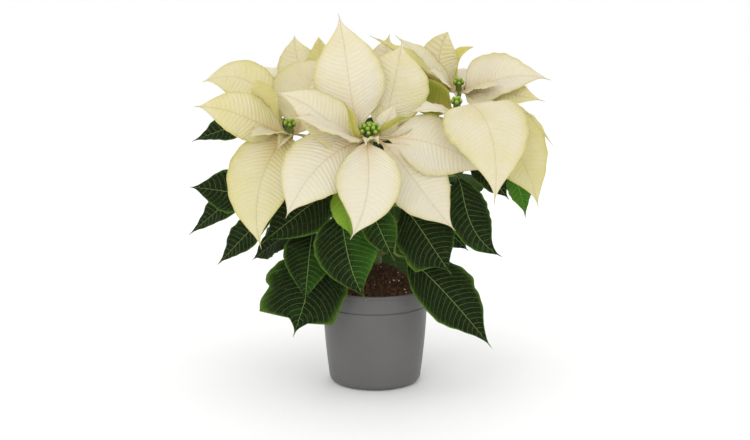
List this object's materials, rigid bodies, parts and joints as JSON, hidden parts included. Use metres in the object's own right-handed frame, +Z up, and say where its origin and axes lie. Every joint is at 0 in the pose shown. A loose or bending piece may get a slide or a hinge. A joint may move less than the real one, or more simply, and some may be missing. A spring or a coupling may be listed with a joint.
{
  "type": "potted poinsettia",
  "caption": "Bushy poinsettia with layered cream bracts, small green flower buds and dark lobed leaves, in a round grey plastic nursery pot filled with peat.",
  "frame": {"origin": "middle of the pot's flat base", "axes": "+Z up from the base along the pot's axis; -Y towards the plant's front, where its largest rosette faces; +X to the right seen from the front"},
  "size_m": [0.4281, 0.3841, 0.4232],
  "materials": {
    "grey_plastic": "satin grey moulded plastic",
    "peat": "damp brown peat with coarse fibres and white grains",
    "green_bark": "green-brown young bark",
    "green_leaf": "dark green leaf with pale veins, slightly glossy",
    "cream_bract": "thin cream bract with fine veins, matt and lit through",
    "green_bud": "bright green flower bud, smooth"
  },
  "bodies": {
    "root": {"pot": "grey_plastic", "potting_soil": "peat", "main_stem": "green_bark", "leafy_stem_front": "green_leaf", "bracts_front": "cream_bract", "cyathia_front": "green_bud", "leafy_stem_left": "green_leaf", "bracts_left": "cream_bract", "cyathia_left": "green_bud", "leafy_stem_right": "green_leaf", "bracts_right": "cream_bract", "cyathia_right": "green_bud", "leafy_stem_back_left": "green_leaf", "bracts_back_left": "cream_bract", "cyathia_back_left": "green_bud", "leafy_stem_back_right": "green_leaf", "bracts_back_right": "cream_bract", "cyathia_back_right": "green_bud", "leafy_stem_back": "green_leaf", "bracts_back": "cream_bract", "cyathia_back": "green_bud"}
  },
  "joints": []
}
